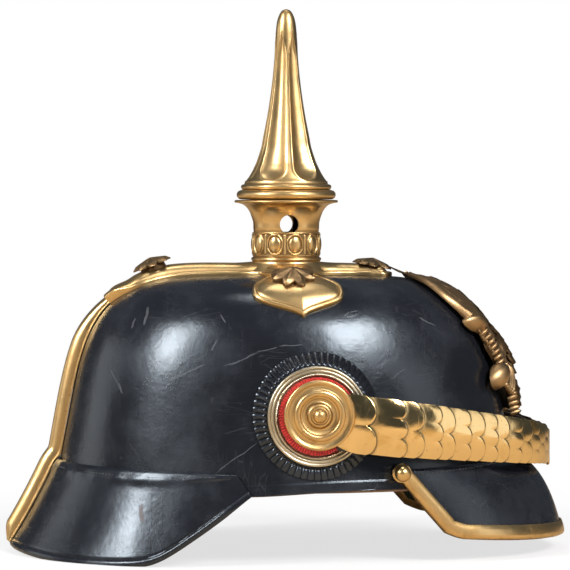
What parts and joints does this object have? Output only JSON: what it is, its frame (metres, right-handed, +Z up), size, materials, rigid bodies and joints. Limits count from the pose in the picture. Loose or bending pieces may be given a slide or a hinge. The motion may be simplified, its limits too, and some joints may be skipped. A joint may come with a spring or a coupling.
{
  "type": "spiked dress helmet",
  "caption": "Black leather helmet with a fluted screw-on spike, brass cross base, brow plate, visor, neck guard and scaled chin straps.",
  "frame": {"origin": "on the spike's axis, at the height of the neck guard's lowest edge, which is the plane the helmet stands on", "axes": "+X to the wearer's front, +Y to the wearer's left, +Z up along the spike"},
  "size_m": [0.2861, 0.2006, 0.2743],
  "materials": {
    "lacquered_leather": "black lacquer, glossy, crazed and scratched",
    "green_lining": "green dyed sheepskin, matt",
    "red_lining": "red dyed sheepskin, matt",
    "gilt_brass": "gilded brass, polished and worn with dull patches",
    "dark_bronze": "dark toned brass with bright high spots",
    "plain_brass": "plain brass, dull",
    "cockade_metal": "silvered metal, worn and yellowed",
    "red_cloth": "red felt",
    "strap_leather": "dark leather, waxed",
    "brown_leather": "brown leather, soft and matt",
    "cord": "linen cord"
  },
  "bodies": {
    "shell": {"skull_shell": "lacquered_leather", "front_visor": "lacquered_leather", "visor_lining": "green_lining", "neck_guard": "lacquered_leather", "guard_lining": "red_lining", "visor_trim": "gilt_brass", "trim_screws": "gilt_brass", "rear_spine": "gilt_brass", "spine_rivets": "gilt_brass", "cross_base": "gilt_brass", "star_screws": "dark_bronze", "star_nuts": "plain_brass", "spike_neck": "gilt_brass", "jewel_band": "gilt_brass", "front_plate": "dark_bronze", "plate_nuts": "plain_brass", "right_pleated_ring": "lacquered_leather", "left_pleated_ring": "lacquered_leather", "right_cockade": "cockade_metal", "left_cockade": "cockade_metal", "right_red_disc": "red_cloth", "left_red_disc": "red_cloth", "right_rosette": "gilt_brass", "left_rosette": "gilt_brass", "right_pivot_nut": "plain_brass", "left_pivot_nut": "plain_brass", "sweatband": "brown_leather", "crown_liner": "brown_leather", "liner_cord": "cord"},
    "spike_seat": {"spike_washer": "brown_leather"},
    "spike_body": {"spike": "gilt_brass"},
    "left_chinscale": {"left_strap": "strap_leather", "left_scales": "gilt_brass", "buckle_frame": "gilt_brass", "strap_keeper": "strap_leather"},
    "right_chinscale": {"right_strap": "strap_leather", "right_scales": "gilt_brass"},
    "prong_body": {"buckle_prong": "gilt_brass"}
  },
  "joints": [
    {"name": "spike_lift", "type": "slide", "parent": "shell", "child": "spike_seat", "axis": [0, 0, 1], "range_m": [0, 0.0135]},
    {"name": "spike_turn", "type": "hinge", "parent": "spike_seat", "child": "spike_body", "pos_m": [0, 0, 0.18], "axis": [0, 0, 1], "range_deg": [0, 3240]},
    {"name": "left_swing", "type": "hinge", "parent": "shell", "child": "left_chinscale", "pos_m": [0.0068, 0.0904, 0.0728], "axis": [0, -1, 0], "range_deg": [0, 60]},
    {"name": "right_swing", "type": "hinge", "parent": "shell", "child": "right_chinscale", "pos_m": [0.0068, -0.0904, 0.0728], "axis": [0, -1, 0], "range_deg": [0, 60]},
    {"name": "prong_swing", "type": "hinge", "parent": "left_chinscale", "child": "prong_body", "pos_m": [0.13415, 0.00522, 0.0535], "axis": [0, 0, 1], "range_deg": [0, 100]}
  ],
  "couplings": [
    {"joint": "spike_lift", "follows": "spike_turn", "m_per_rad": 0.00023873},
    {"joint": "right_swing", "follows": "left_swing", "ratio": 1}
  ]
}
